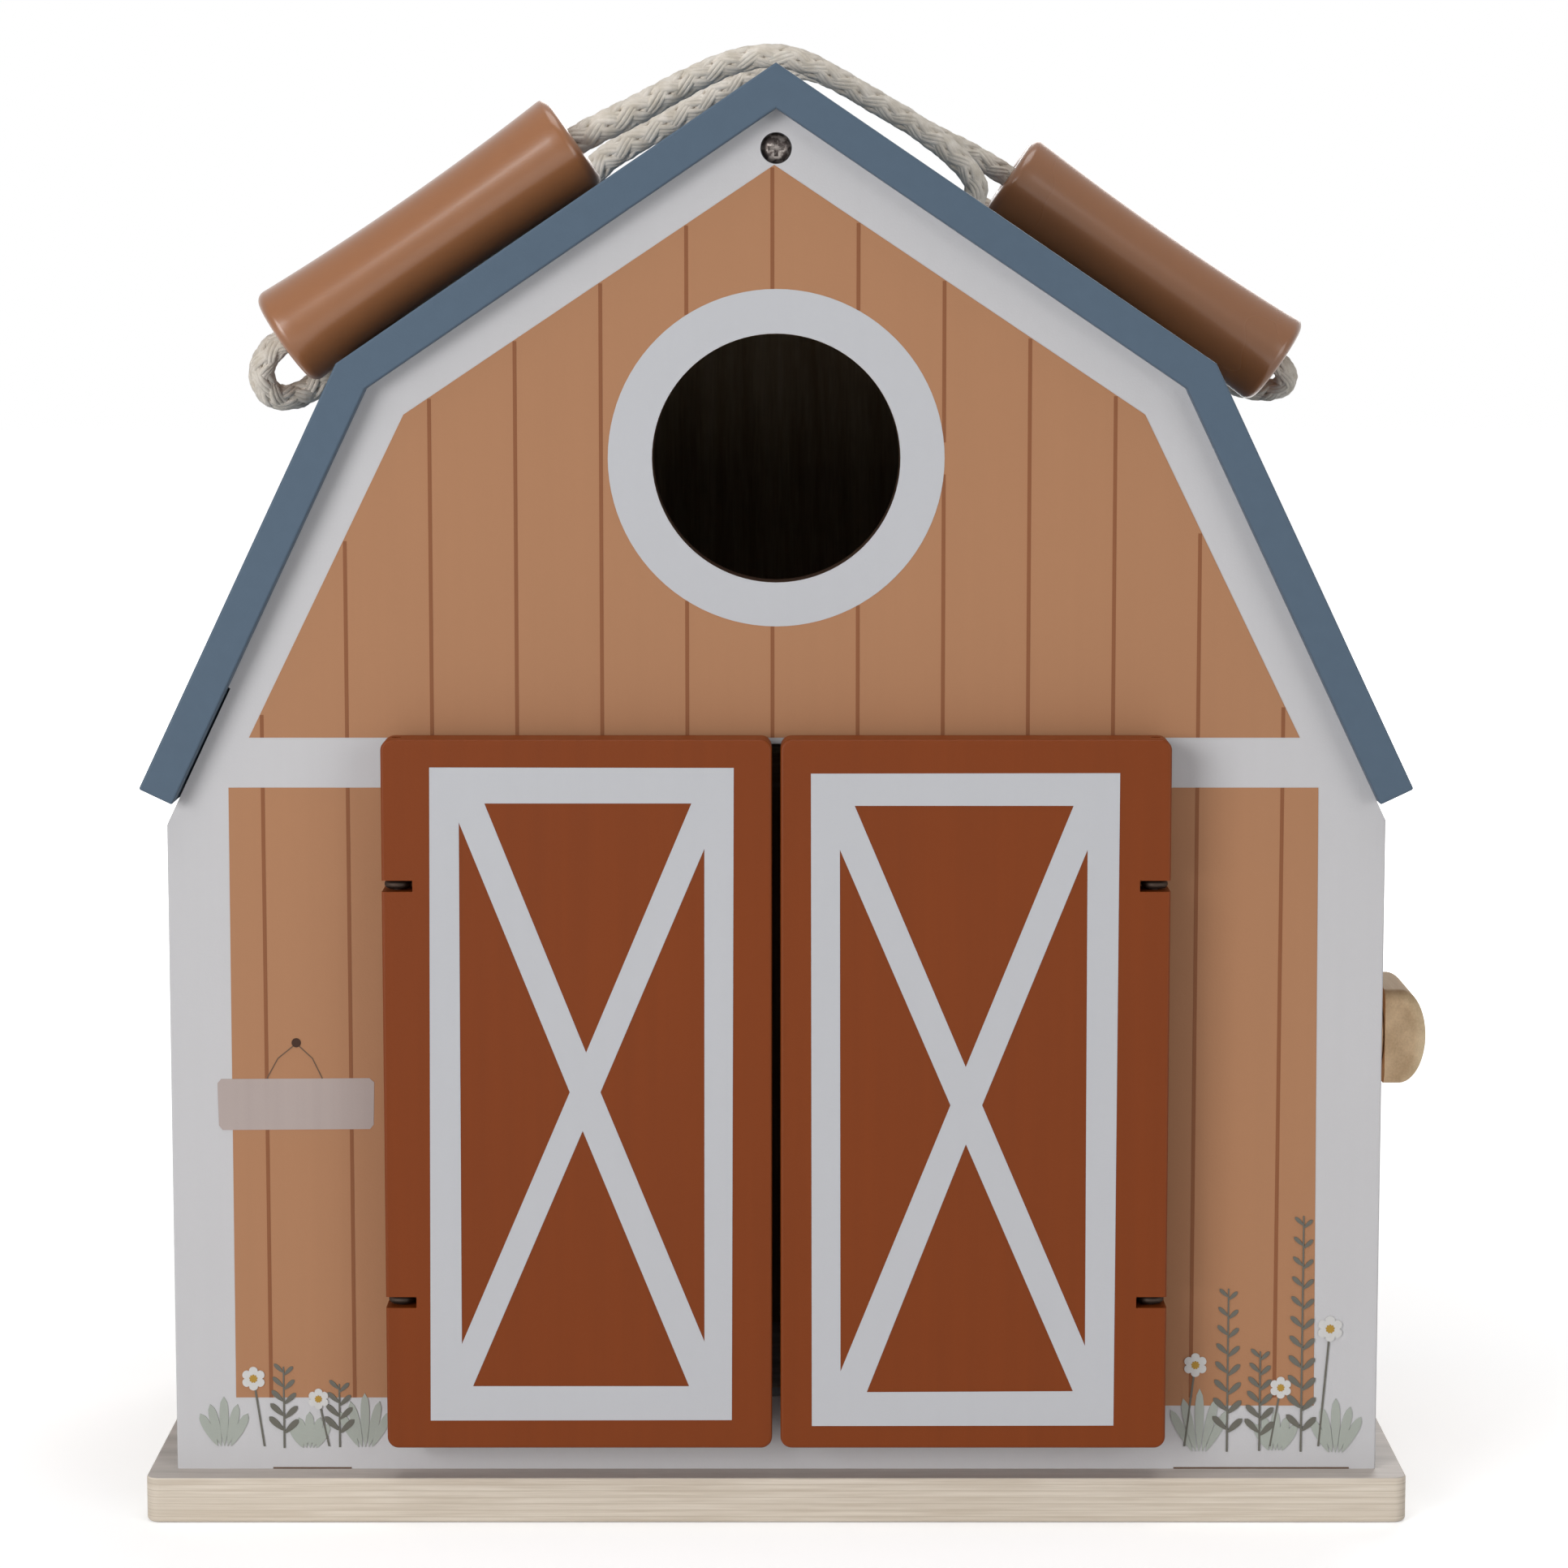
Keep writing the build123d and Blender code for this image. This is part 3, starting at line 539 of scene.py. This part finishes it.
def leaf(x, z, lean, length, width):
    line = Vector((sin(lean), cos(lean)))
    off = Vector((line.y, -line.x)) * width / 2
    right = []
    left = []
    for step in range(1, leaf_steps):
        along = step / leaf_steps
        middle = Vector((x, z)) + line * length * along
        swell = off * (leaf_belly * along * (1.0 - along) ** 0.6 + leaf_stalk)
        right.append(tuple(middle + swell))
        left.append(tuple(middle - swell))
    return [(x, z)] + right + [tuple(Vector((x, z)) + line * length)] + left[::-1]


def blossom(x, z, radius, petals):
    points = []
    for step in range(petals * petal_steps):
        angle = 2 * pi * step / (petals * petal_steps)
        reach = radius * (1.0 - petal_notch + petal_notch * abs(cos(petals * angle / 2)) ** 0.6)
        points.append((x + reach * sin(angle), z + reach * cos(angle)))
    return points


# Across, foot and height of each tuft; the same and the pairs of leaves of each sprig;
# and across, height and radius of each blossom.
tufts = [(-0.1195, 0.0150, 0.011), (-0.1010, 0.0146, 0.008), (-0.0890, 0.0148, 0.012),
         (0.0915, 0.0138, 0.014), (0.1080, 0.0140, 0.009), (0.1210, 0.0136, 0.012)]
sprigs = [(-0.1065, 0.0146, 0.018, 5), (-0.0945, 0.0148, 0.014, 4),
          (0.0975, 0.0138, 0.036, 8), (0.1135, 0.0138, 0.052, 11), (0.1045, 0.0140, 0.022, 6)]
flowers = [(-0.1130, 0.0300, 0.0026), (-0.0990, 0.0255, 0.0023),
           (0.0905, 0.0330, 0.0026), (0.1090, 0.0280, 0.0024), (0.1195, 0.0410, 0.0028)]
flower_foot = 0.0150
blades = []
for x, z, height in tufts:
    for place in (-2, 2, -1, 1, 0):
        shorter = height * (1.0 - blade_shortening * abs(place))
        blades.append(leaf(x + place * blade_gap, z, place * blade_lean, shorter, blade_width))
leaves = []
for x, z, height, pairs in sprigs:
    leaves.append([(x - stem_half, z), (x + stem_half, z), (x + stem_tip_half, z + height),
                   (x - stem_tip_half, z + height)])
    for pair in range(pairs):
        up = z + height * (pair + 1.0) / (pairs + 0.6)
        size = leaf_length * (1.0 - 0.45 * pair / pairs)
        leaves.append(leaf(x, up, leaf_lean, size, size * leaf_slimness))
        leaves.append(leaf(x, up + leaf_offset, -leaf_lean, size, size * leaf_slimness))
stems = []
for x, z, radius in flowers:
    foot = x + stem_slant * (1 if x < 0 else -1)
    stems.append([(foot - stem_half, flower_foot), (foot + stem_half, flower_foot),
                  (x + stem_half, z), (x - stem_half, z)])
petals = [blossom(x, z, radius, 6) for x, z, radius in flowers]
hearts = [blossom(x, z, radius * heart_share, 9) for x, z, radius in flowers]
sage = paint("sage_print", srgb(163, 168, 160), tone=0.05, gloss=0.6)
sprig_green = paint("sprig_print", srgb(104, 102, 94), tone=0.06, grain_show=0.03, gloss=0.6)
petal_white = paint("petal_print", srgb(203, 202, 200), tone=0.02, gloss=0.6)
mustard = paint("mustard_print", srgb(172, 136, 60), gloss=0.6)
stacked("sage_tufts_print", blades, tuft_films, sage)
stacked("sprigs_print", stems + leaves, sprig_films, sprig_green)
stacked("blossoms_print", petals, petal_films, petal_white)
stacked("blossom_hearts_print", hearts, heart_films, mustard)

# A thin dark line of painted shade shows in two places along the foot of the front gable,
# where it meets the base plate, and is drawn as a thin print. It may be glue or the shadow
# of a gap, and is drawn as a thin print.
shade_line_low = 0.01003
shade_line_high = 0.01034
shade_line_strips = [[(low_x, shade_line_low), (high_x, shade_line_low), (high_x, shade_line_high), (low_x, shade_line_high)]
               for low_x, high_x in ((-0.1090, -0.0920), (0.0860, 0.1240))]
stacked("front_foot_painted_shade", shade_line_strips, shade_line_films, string_grey)

# The roof boards are painted slate blue, two upper and two lower ones on each half. No joint
# shows where they meet, so plywood boards that are mitred and glued there are inferred.
slate = paint("roof_slate", srgb(81, 97, 113), tone=0.05, grain_show=0.04, gloss=0.5,
              turn=(pi / 2, 0.0, 0.0))
roof_names = [f"{half}_{level}_{hand}_roof" for half in ("front", "back")
              for level in ("upper", "lower") for hand in ("left", "right")]
finish_nodes(slate, *roof_names)

# One dark screw with pale patches on its head holds each gable to the block under the ridge,
# sunk in its hole. The turn-button's screw can't be seen and is given the same finish.
bronze, tree, shader = new_finish("bronzed_screw", {"Metallic": 1.0, "Roughness": 0.42})
patch = mottle(tree, add(tree, "TexCoord", {}).outputs["Object"], 700.0, 4.0)
pale_patch = graded(tree, patch, 0.46, 0.64)
fill(shader, {"Base Color": blend(tree, pale_patch, srgb(72, 66, 64), srgb(146, 139, 134))})
finish_nodes(bronze, "front_apex_screw", "back_apex_screw", "button_screw")

# Two doors of thick board are rust brown, on their hidden backs by guess. Each has a white
# frame and cross on its face, drawn as one thin sheet with four holes for the rust.
door_face = 0.082
rust = paint("door_rust", srgb(118, 56, 17), tone=0.05, grain_show=0.06, gloss=0.48, bumps=0.16)
finish_nodes(rust, "left_door", "right_door")
left_rim = [(-0.0738, 0.0239), (-0.0095, 0.0240), (-0.0089, 0.1642), (-0.0728, 0.1643)]
left_holes = [
    [(-0.0613, 0.1567), (-0.0178, 0.1567), (-0.0402, 0.1036)],
    [(-0.0647, 0.0314), (-0.0186, 0.0314), (-0.0410, 0.0868)],
    [(-0.0667, 0.1527), (-0.0670, 0.0406), (-0.0437, 0.0951)],
    [(-0.0151, 0.1471), (-0.0153, 0.0411), (-0.0372, 0.0951)],
]
right_rim = [(0.0076, 0.0227), (0.0720, 0.0228), (0.0722, 0.1631), (0.0073, 0.1630)]
right_holes = [
    [(0.0165, 0.1562), (0.0625, 0.1562), (0.0401, 0.1005)],
    [(0.0193, 0.0301), (0.0633, 0.0303), (0.0402, 0.0839)],
    [(0.0134, 0.1469), (0.0137, 0.0346), (0.0369, 0.0923)],
    [(0.0655, 0.1469), (0.0658, 0.0402), (0.0436, 0.0923)],
]
for hand, rim, holes in (("left", left_rim, left_holes), ("right", right_rim, right_holes)):
    printed(f"{hand}_door_cross_print", [rim] + holes, door_face, film, trim_white, f"{hand}_door")

# Four dark slots show at the doors' outer edges, two of them with a glint, and are taken to
# hold dull steel screw eyes and pins. The butt hinges at the left of the seam, the other
# screws and the button's magnet can't be seen, and zinc-plated steel is a guess.
zinc, tree, shader = new_finish("zinc_steel", {"Metallic": 1.0})
cloud = mottle(tree, add(tree, "TexCoord", {}).outputs["Object"], 420.0, 3.0)
brightness = graded(tree, cloud, 0.3, 0.7)
fill(shader, {"Base Color": blend(tree, brightness, srgb(104, 100, 95), srgb(150, 147, 142)),
              "Roughness": graded(tree, cloud, start=0.3, end=0.48)})
finish_nodes(zinc, "front_hinge_leaves", "back_hinge_leaves", "hinge_pins", "front_hinge_screws",
             "back_hinge_screws", "front_base_screws", "back_base_screws", "keeper_screw", "button_magnet")
dull_steel, tree, shader = new_finish("dull_steel", {
    "Metallic": 1.0, "Roughness": 0.6, "Base Color": srgb(72, 62, 56)})
finish_nodes(dull_steel, "door_hinge_eyes", "left_door_pins", "right_door_pins")

# The half-round turn-button on the right wall is bare wood with a dull finish, taken to be
# beech, as are its spacer and the keeper block on the back half, which can't be seen. Its
# upper side is darkened with painted shade.
beech = bare_wood("bare_beech", srgb(244, 219, 181), srgb(213, 186, 149), 0.65, 0.08, 0.1,
                  turn=(0.0, 0.0, pi / 2))
tree = beech.node_tree
shader = tree.nodes["Principled BSDF"]
unshaded_beech = shader.inputs["Base Color"].links[0].from_socket
upward = axes(tree, add(tree, "TexCoord", {}).outputs["Normal"])["Z"]
# Faces turned upward are darkened: painted shade on the button's upper side.
top_painted_shade = graded(tree, upward, 0.2, 0.9, 0.0, 0.65)
fill(shader, {"Base Color": blend(tree, top_painted_shade, unshaded_beech, srgb(110, 84, 58))})
finish_nodes(beech, "turn_button", "button_spacer", "keeper_block")

# Each half has a braided rope, taken to be cotton and drawn as eight strands of three yarns.
# It runs out of a hole in one slope, over the ridge, through its grip and back into the other
# slope. The holes and the stopper knots under the roof can't be seen and are inferred.
roof_board = 0.0078
ridge_z = 0.3108
knee = (0.0922, 0.2485)
slope_angle = atan2(ridge_z - knee[1], knee[0])
hole_down = 0.0519
hole_in = 0.0375


# A place beside a slope: its side, how far down from the ridge, how high above, and its Y.
def on_slope(side, s, h, y):
    across = s * cos(slope_angle) + h * sin(slope_angle)
    return (side * across, y, ridge_z - s * sin(slope_angle) + h * cos(slope_angle))


front_grip_ends = (on_slope(-1, 0.0441, 0.01135, -0.0520), on_slope(-1, 0.1197, 0.0110, -0.0520))
back_grip_ends = (on_slope(1, 0.0562, 0.0120, 0.0230), on_slope(1, 0.1318, 0.0115, 0.0230))
front_route = [
    on_slope(1, hole_down, -roof_board, -hole_in), on_slope(1, hole_down, 0.0028, -hole_in),
    (0.0415, -0.0376, 0.2897), (0.0363, -0.0380, 0.2944), (0.0295, -0.0390, 0.2993),
    (0.0217, -0.0400, 0.3037), (0.0120, -0.0415, 0.3093), (0.0050, -0.0425, 0.3129),
    (-0.0020, -0.0435, 0.3138), (-0.0100, -0.0445, 0.3122), (-0.0193, -0.0465, 0.3078),
    (-0.0310, -0.0500, 0.3011),
    front_grip_ends[0], on_slope(-1, 0.0710, 0.01123, -0.0520),
    on_slope(-1, 0.0980, 0.01110, -0.0520), front_grip_ends[1],
    (-0.1082, -0.0515, 0.2512), (-0.1112, -0.0500, 0.2465), (-0.1092, -0.0475, 0.2405),
    (-0.1030, -0.0430, 0.2406), (-0.0975, -0.0395, 0.2452), (-0.0948, -0.0380, 0.2512),
    on_slope(-1, 0.1000, 0.0031, -0.0376), on_slope(-1, 0.0840, 0.0029, -hole_in),
    on_slope(-1, 0.0700, 0.0029, -hole_in), on_slope(-1, 0.0600, 0.0034, -hole_in),
    on_slope(-1, hole_down, 0.0030, -hole_in), on_slope(-1, hole_down, -roof_board, -hole_in),
]
back_route = [
    on_slope(-1, hole_down, -roof_board, hole_in), on_slope(-1, hole_down, 0.0030, hole_in),
    on_slope(-1, 0.0460, 0.0082, 0.0370), on_slope(-1, 0.0340, 0.0076, 0.0355),
    on_slope(-1, 0.0220, 0.0062, 0.0342), on_slope(-1, 0.0110, 0.0057, 0.0332),
    (-0.0040, 0.0325, 0.3143), (0.0080, 0.0305, 0.3140), (0.0155, 0.0293, 0.3106),
    (0.0230, 0.0278, 0.3060), (0.0304, 0.0262, 0.3016), (0.0378, 0.0246, 0.2976),
    (0.0434, 0.0236, 0.2950), back_grip_ends[0],
    on_slope(1, 0.0800, 0.01184, 0.0230), on_slope(1, 0.1080, 0.01166, 0.0230),
    back_grip_ends[1],
    (0.1175, 0.0235, 0.2452), (0.1186, 0.0255, 0.2420), (0.1155, 0.0290, 0.2396),
    (0.1080, 0.0335, 0.2405), (0.0990, 0.0365, 0.2446), (0.0948, 0.0372, 0.2512),
    on_slope(1, 0.1000, 0.0031, hole_in), on_slope(1, 0.0840, 0.0029, hole_in),
    on_slope(1, 0.0700, 0.0029, hole_in), on_slope(1, 0.0600, 0.0034, hole_in),
    on_slope(1, hole_down, 0.0030, hole_in), on_slope(1, hole_down, -roof_board, hole_in),
]

cotton, tree, shader = new_finish("cotton_yarn", {
    "Roughness": 0.9, "Specular IOR Level": 0.15, "Sheen Weight": 0.35, "Sheen Roughness": 0.6})
where = add(tree, "TexCoord", {}).outputs["Object"]
soft = graded(tree, mottle(tree, where, 330.0, 4.0), 0.32, 0.68)
fuzz = mottle(tree, where, 3800.0, 3.0)
fill(shader, {"Base Color": blend(tree, soft, srgb(202, 192, 177), srgb(230, 222, 211)),
              "Normal": relief(tree, fuzz, 0.5, depth=0.0003)})


# The line that a rope follows is a smooth curve along its route, which rounds the corners.
def rope_line(name, route):
    curve = bpy.data.curves.new(name, "CURVE")
    curve.dimensions = "3D"
    spline = curve.splines.new("NURBS")
    spline.points.add(len(route) - 1)
    for point, place in zip(spline.points, route):
        point.co = (*place, 1.0)
    spline.order_u = 3
    spline.use_endpoint_u = True
    spline.resolution_u = 16
    holder = bpy.data.objects.new(name, curve)
    bpy.context.scene.collection.objects.link(holder)
    bpy.context.view_layer.update()
    shape = bpy.data.meshes.new_from_object(holder)
    line = [v.co.copy() for v in shape.vertices]
    bpy.data.objects.remove(holder)
    return line


def evenly(line, step):
    kept = [line[0]]
    left = step
    for a, b in zip(line, line[1:]):
        run = (b - a).length
        done = 0.0
        while run - done > left:
            done += left
            kept.append(a.lerp(b, done / run))
            left = step
        left -= run - done
    kept.append(line[-1])
    return kept


strand_count = 4
yarn_spread = (-0.38, 0.0, 0.38)
braid_pitch = 0.030
braid_radius = 0.00195
braid_lift = 0.00020
yarn_radius = 0.00067
braid_step = 0.0011
core_share = 0.9
plain_fullness = 0.95
left_fullness = 0.10
left_from = -0.060
left_blend = 0.006
swell_fullness = 0.24
swell_middle = -0.035
swell_reach = 0.020


# The braid's thickness is matched to the photograph: a little fuller on the left, and fullest
# just above the front grip. The back rope is given the same swelling.
def fullness_at(x):
    left_part = left_fullness / (1.0 + exp((x - left_from) / left_blend))
    swell_part = swell_fullness * exp(-((x - swell_middle) / swell_reach) ** 2)
    return plain_fullness + left_part + swell_part


# Yarns wind both ways round the line and pass over and under each other, round a plain core.
def braid(name, line, finish, swells=True):
    line = evenly(line, braid_step)
    side = (line[1] - line[0]).orthogonal().normalized()
    frames = []
    for number, place in enumerate(line):
        ahead = line[min(number + 1, len(line) - 1)] - line[max(number - 1, 0)]
        ahead.normalize()
        side = (side - ahead * side.dot(ahead)).normalized()
        frames.append((place, side.copy(), ahead.cross(side)))
    fullness = [fullness_at(place.x) if swells else 1.0 for place in line]
    curve = bpy.data.curves.new(name, "CURVE")
    curve.dimensions = "3D"
    curve.bevel_depth = yarn_radius
    curve.bevel_resolution = 1
    curve.use_fill_caps = True
    for way in (1, -1):
        for strand in range(strand_count):
            for spread in yarn_spread:
                spline = curve.splines.new("POLY")
                spline.points.add(len(frames) - 1)
                for number, (place, a, b) in enumerate(frames):
                    turn = 2 * pi * number * braid_step / braid_pitch
                    angle = way * turn + strand * 2 * pi / strand_count + spread
                    reach = braid_radius + way * braid_lift * cos(strand_count * turn)
                    spot = place + (a * cos(angle) + b * sin(angle)) * reach * fullness[number]
                    spline.points[number].co = (*spot, 1.0)
                    spline.points[number].radius = fullness[number]
    core = curve.splines.new("POLY")
    core.points.add(len(frames) - 1)
    for number, (place, a, b) in enumerate(frames):
        core.points[number].co = (*place, 1.0)
        core.points[number].radius = core_share * braid_radius / yarn_radius * fullness[number]
    holder = bpy.data.objects.new(name + "_curve", curve)
    bpy.context.scene.collection.objects.link(holder)
    bpy.context.view_layer.update()
    drawn = bpy.data.meshes.new_from_object(holder)
    bpy.data.objects.remove(holder)
    build = bmesh.new()
    build.from_mesh(drawn)
    bpy.data.meshes.remove(drawn)
    bmesh.ops.remove_doubles(build, verts=build.verts[:], dist=0.0000002)
    return piece_from(build, name, finish, smooth=True)


knot_steps = 48
knot_start = -150.0
knot_sweep = 300.0
knot_size = 0.00115
knot_drop = 0.0050
knot_tuck = 0.0019


# A knot is drawn as a tight curl of the rope, five sixths of a turn, which makes a lump. It is
# not a tied knot.
def knot_line(hole_bottom, down):
    side = down.orthogonal().normalized()
    front = down.cross(side)
    points = []
    for step in range(knot_steps + 1):
        t = radians(knot_start + step * knot_sweep / knot_steps)
        swing = (2 + cos(1.5 * t)) * knot_size
        flat = side * (swing * cos(t)) + front * (swing * sin(t))
        points.append(hole_bottom + flat + down * (knot_drop - knot_tuck * sin(1.5 * t)))
    return points


for half, route in (("front", front_route), ("back", back_route)):
    line = rope_line(half + "_rope_route", route)
    rope = braid(half + "_rope_braid", line, cotton)
    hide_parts(half + "_rope")
    knots = []
    for hole, ahead in ((line[0], line[0] - line[1]), (line[-1], line[-1] - line[-2])):
        hand = "right" if hole.x > 0 else "left"
        knot = braid(f"{half}_{hand}_rope_knot", knot_line(hole, ahead.normalized()), cotton, swells=False)
        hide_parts(half + "_rope_knots")
        knots.append(knot)
    for piece in [rope] + knots:
        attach(piece, half + "_half")

# Each rope runs through a turned wooden grip with a slight waist and rounded ends, in a glossy
# terracotta. It is taken to turn freely on the rope.
grip_rim = 0.0112
grip_length = 0.0756
grip_waist = 0.00115
end_round = 0.0022
bore_rim = 0.0040
mouth_round = 0.0010
mouth_steps = 6
end_steps = 8
waist_steps = 15
weld = 0.000001
waist_arc = ((grip_length / 2) ** 2 + grip_waist ** 2) / (2 * grip_waist)
terracotta, tree, shader = new_finish("grip_terracotta", {
    "Specular IOR Level": 0.5, "Coat Weight": 0.35, "Coat Roughness": 0.18})
skin = laid(tree, painted_wood, {"Vector": add(tree, "TexCoord", {}).outputs["Object"],
                                 "Color": srgb(143, 92, 55), "Tone": 0.05, "Grain": 0.03, "Gloss": 0.3})
fill(shader, {"Base Color": skin["Color"], "Roughness": skin["Roughness"],
              "Normal": relief(tree, skin["Height"], 0.06)})


def waist_radius(along):
    off = along - grip_length / 2
    return grip_rim - (waist_arc ** 2 - off ** 2) ** 0.5 + waist_arc - grip_waist


# Half of the profile, from the bore to the middle, is spun round, mirrored and laid on the rope.
def turned_grip(name, start, end, body):
    half = [(bore_rim, grip_length / 2)]
    for step in range(mouth_steps + 1):
        angle = step * pi / (2 * mouth_steps)
        half.append((bore_rim + mouth_round * (1 - cos(angle)), mouth_round * (1 - sin(angle))))
    for step in range(end_steps + 1):
        angle = step * pi / (2 * end_steps)
        inner = waist_radius(end_round) - end_round
        half.append((inner + end_round * sin(angle), end_round * (1 - cos(angle))))
    for step in range(1, waist_steps + 1):
        along = end_round + step * (grip_length / 2 - end_round) / waist_steps
        half.append((waist_radius(along), along))
    build = bmesh.new()
    rim = [build.verts.new((radius, 0.0, along - grip_length / 2)) for radius, along in half]
    edges = [build.edges.new(pair) for pair in zip(rim, rim[1:])]
    bmesh.ops.spin(build, geom=rim + edges, cent=(0.0, 0.0, 0.0), axis=(0.0, 0.0, 1.0), angle=2 * pi,
                   steps=round_sides, use_merge=True)
    bmesh.ops.mirror(build, geom=build.verts[:] + build.edges[:] + build.faces[:], axis="Z",
                     merge_dist=weld)
    bmesh.ops.remove_doubles(build, verts=build.verts[:], dist=weld)
    run = Vector(end) - Vector(start)
    turn = Vector((0.0, 0.0, 1.0)).rotation_difference(run).to_matrix().to_4x4()
    lie = Matrix.Translation((Vector(start) + Vector(end)) / 2) @ turn
    bmesh.ops.transform(build, matrix=lie, verts=build.verts[:])
    bmesh.ops.recalc_face_normals(build, faces=build.faces[:])
    piece = piece_from(build, name, terracotta, smooth=True)
    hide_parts(body)
    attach(piece, body)


turned_grip("front_turned_grip", *front_grip_ends, "front_grip")
turned_grip("back_turned_grip", *back_grip_ends, "back_grip")
